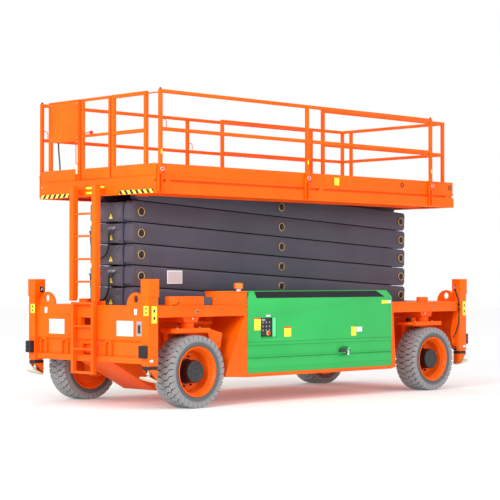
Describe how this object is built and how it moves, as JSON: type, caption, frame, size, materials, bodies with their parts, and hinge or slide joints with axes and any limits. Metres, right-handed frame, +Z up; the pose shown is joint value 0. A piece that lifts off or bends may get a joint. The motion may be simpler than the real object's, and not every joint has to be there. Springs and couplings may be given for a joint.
{
  "type": "scissor lift",
  "caption": "Rough-terrain scissor lift with crossed-arm stack, railed platform with sliding extension, outriggers, steered lugged wheels and entry ladder.",
  "frame": {"origin": "on the ground under the middle of the machine", "axes": "+X along the machine away from the ladder end, +Y toward the far side, +Z up"},
  "size_m": [6.684, 2.622, 4.1349],
  "materials": {
    "orange_paint": "satin",
    "green_paint": "satin",
    "stack_paint": "satin",
    "black_rubber": "matte",
    "tyre_rubber": "matte",
    "black_plastic": "matte",
    "amber_lens": "gloss",
    "grey_box": "satin"
  },
  "bodies": {
    "chassis": {"beacon": "amber_lens", "beacon_bracket": "orange_paint", "beam_box": "orange_paint", "belly_pan": "orange_paint", "bumpers": "black_rubber", "end_frame_left": "orange_paint", "end_frame_right": "orange_paint", "filler_cap": "black_plastic", "ground_control_panel": "black_plastic", "lower_ladder": "orange_paint", "side_box_far": "green_paint", "side_box_near": "green_paint", "side_frame_far": "orange_paint", "side_frame_near": "orange_paint", "stack_base": "orange_paint", "steering_rams": "orange_paint"},
    "platform": {"entry_rail": "orange_paint", "platform_cable": "black_rubber", "platform_control_box": "grey_box", "platform_deck": "orange_paint", "side_rail_far": "orange_paint", "side_rail_near": "orange_paint", "toe_boards": "orange_paint", "upper_ladder": "orange_paint"},
    "gate": {"gate": "orange_paint"},
    "extension": {"extension_deck": "orange_paint", "extension_rails": "orange_paint"},
    "outer_1": {"outer_arms_1": "stack_paint"},
    "inner_1": {"inner_arms_1": "stack_paint"},
    "outer_2": {"outer_arms_2": "stack_paint"},
    "inner_2": {"inner_arms_2": "stack_paint"},
    "outer_3": {"outer_arms_3": "stack_paint"},
    "inner_3": {"inner_arms_3": "stack_paint", "stack_hose_lower": "black_rubber"},
    "outer_4": {"outer_arms_4": "stack_paint"},
    "inner_4": {"inner_arms_4": "stack_paint"},
    "outer_5": {"outer_arms_5": "stack_paint"},
    "inner_5": {"inner_arms_5": "stack_paint", "stack_hose_upper": "black_rubber"},
    "outer_6": {"outer_arms_6": "stack_paint"},
    "inner_6": {"inner_arms_6": "stack_paint"},
    "knuckle_left_near": {"steering_knuckle_left_near": "orange_paint"},
    "wheel_left_near": {"rim_left_near": "orange_paint", "tyre_left_near": "tyre_rubber"},
    "leg_left_near": {"outrigger_leg_left_near": "orange_paint"},
    "knuckle_left_far": {"steering_knuckle_left_far": "orange_paint"},
    "wheel_left_far": {"rim_left_far": "orange_paint", "tyre_left_far": "tyre_rubber"},
    "leg_left_far": {"outrigger_leg_left_far": "orange_paint"},
    "knuckle_right_near": {"steering_knuckle_right_near": "orange_paint"},
    "wheel_right_near": {"rim_right_near": "orange_paint", "tyre_right_near": "tyre_rubber"},
    "leg_right_near": {"outrigger_leg_right_near": "orange_paint"},
    "knuckle_right_far": {"steering_knuckle_right_far": "orange_paint"},
    "wheel_right_far": {"rim_right_far": "orange_paint", "tyre_right_far": "tyre_rubber"},
    "leg_right_far": {"outrigger_leg_right_far": "orange_paint"}
  },
  "joints": [
    {"name": "lift", "type": "hinge", "parent": "chassis", "child": "inner_1", "pos_m": [-2.68, 0, 1.154], "axis": [0, -1, 0], "range_deg": [0, 45]},
    {"name": "cross_1", "type": "hinge", "parent": "inner_1", "child": "outer_1", "pos_m": [0, 0, 1.298], "axis": [0, -1, 0], "range_deg": [-90, 0]},
    {"name": "knee_1", "type": "hinge", "parent": "outer_1", "child": "inner_2", "pos_m": [-2.68, 0, 1.442], "axis": [0, -1, 0], "range_deg": [0, 90]},
    {"name": "cross_2", "type": "hinge", "parent": "inner_2", "child": "outer_2", "pos_m": [0, 0, 1.586], "axis": [0, -1, 0], "range_deg": [-90, 0]},
    {"name": "knee_2", "type": "hinge", "parent": "outer_2", "child": "inner_3", "pos_m": [-2.68, 0, 1.73], "axis": [0, -1, 0], "range_deg": [0, 90]},
    {"name": "cross_3", "type": "hinge", "parent": "inner_3", "child": "outer_3", "pos_m": [0, 0, 1.874], "axis": [0, -1, 0], "range_deg": [-90, 0]},
    {"name": "knee_3", "type": "hinge", "parent": "outer_3", "child": "inner_4", "pos_m": [-2.68, 0, 2.018], "axis": [0, -1, 0], "range_deg": [0, 90]},
    {"name": "cross_4", "type": "hinge", "parent": "inner_4", "child": "outer_4", "pos_m": [0, 0, 2.162], "axis": [0, -1, 0], "range_deg": [-90, 0]},
    {"name": "knee_4", "type": "hinge", "parent": "outer_4", "child": "inner_5", "pos_m": [-2.68, 0, 2.306], "axis": [0, -1, 0], "range_deg": [0, 90]},
    {"name": "cross_5", "type": "hinge", "parent": "inner_5", "child": "outer_5", "pos_m": [0, 0, 2.45], "axis": [0, -1, 0], "range_deg": [-90, 0]},
    {"name": "knee_5", "type": "hinge", "parent": "outer_5", "child": "inner_6", "pos_m": [-2.68, 0, 2.594], "axis": [0, -1, 0], "range_deg": [0, 90]},
    {"name": "cross_6", "type": "hinge", "parent": "inner_6", "child": "outer_6", "pos_m": [0, 0, 2.738], "axis": [0, -1, 0], "range_deg": [-90, 0]},
    {"name": "platform_level", "type": "hinge", "parent": "outer_6", "child": "platform", "pos_m": [-2.68, 0, 2.882], "axis": [0, -1, 0], "range_deg": [0, 45]},
    {"name": "steer_left_near", "type": "hinge", "parent": "chassis", "child": "knuckle_left_near", "pos_m": [-2.43, -1.07, 1.15], "axis": [0, 0, 1], "range_deg": [-25, 25]},
    {"name": "spin_left_near", "type": "hinge", "parent": "knuckle_left_near", "child": "wheel_left_near", "pos_m": [-2.43, -1.108, 0.478], "axis": [0, 1, 0], "continuous": true},
    {"name": "outrigger_left_near", "type": "slide", "parent": "chassis", "child": "leg_left_near", "axis": [0, 0, -1], "range_m": [0, 0.5]},
    {"name": "steer_left_far", "type": "hinge", "parent": "chassis", "child": "knuckle_left_far", "pos_m": [-2.43, 1.07, 1.15], "axis": [0, 0, 1], "range_deg": [-25, 25]},
    {"name": "spin_left_far", "type": "hinge", "parent": "knuckle_left_far", "child": "wheel_left_far", "pos_m": [-2.43, 1.108, 0.478], "axis": [0, 1, 0], "continuous": true},
    {"name": "outrigger_left_far", "type": "slide", "parent": "chassis", "child": "leg_left_far", "axis": [0, 0, -1], "range_m": [0, 0.5]},
    {"name": "steer_right_near", "type": "hinge", "parent": "chassis", "child": "knuckle_right_near", "pos_m": [2.43, -1.07, 1.15], "axis": [0, 0, 1], "range_deg": [-25, 25]},
    {"name": "spin_right_near", "type": "hinge", "parent": "knuckle_right_near", "child": "wheel_right_near", "pos_m": [2.43, -1.108, 0.478], "axis": [0, 1, 0], "continuous": true},
    {"name": "outrigger_right_near", "type": "slide", "parent": "chassis", "child": "leg_right_near", "axis": [0, 0, -1], "range_m": [0, 0.5]},
    {"name": "steer_right_far", "type": "hinge", "parent": "chassis", "child": "knuckle_right_far", "pos_m": [2.43, 1.07, 1.15], "axis": [0, 0, 1], "range_deg": [-25, 25]},
    {"name": "spin_right_far", "type": "hinge", "parent": "knuckle_right_far", "child": "wheel_right_far", "pos_m": [2.43, 1.108, 0.478], "axis": [0, 1, 0], "continuous": true},
    {"name": "outrigger_right_far", "type": "slide", "parent": "chassis", "child": "leg_right_far", "axis": [0, 0, -1], "range_m": [0, 0.5]},
    {"name": "gate_hinge", "type": "hinge", "parent": "platform", "child": "gate", "pos_m": [-3.012, 0.385, 3.6], "axis": [0, 0, 1], "range_deg": [0, 85]},
    {"name": "extension_slide", "type": "slide", "parent": "platform", "child": "extension", "axis": [1, 0, 0], "range_m": [0, 1.2]}
  ],
  "couplings": [
    {"joint": "cross_1", "follows": "lift", "ratio": -2},
    {"joint": "knee_1", "follows": "lift", "ratio": 2},
    {"joint": "cross_2", "follows": "lift", "ratio": -2},
    {"joint": "knee_2", "follows": "lift", "ratio": 2},
    {"joint": "cross_3", "follows": "lift", "ratio": -2},
    {"joint": "knee_3", "follows": "lift", "ratio": 2},
    {"joint": "cross_4", "follows": "lift", "ratio": -2},
    {"joint": "knee_4", "follows": "lift", "ratio": 2},
    {"joint": "cross_5", "follows": "lift", "ratio": -2},
    {"joint": "knee_5", "follows": "lift", "ratio": 2},
    {"joint": "cross_6", "follows": "lift", "ratio": -2},
    {"joint": "platform_level", "follows": "lift", "ratio": 1}
  ]
}
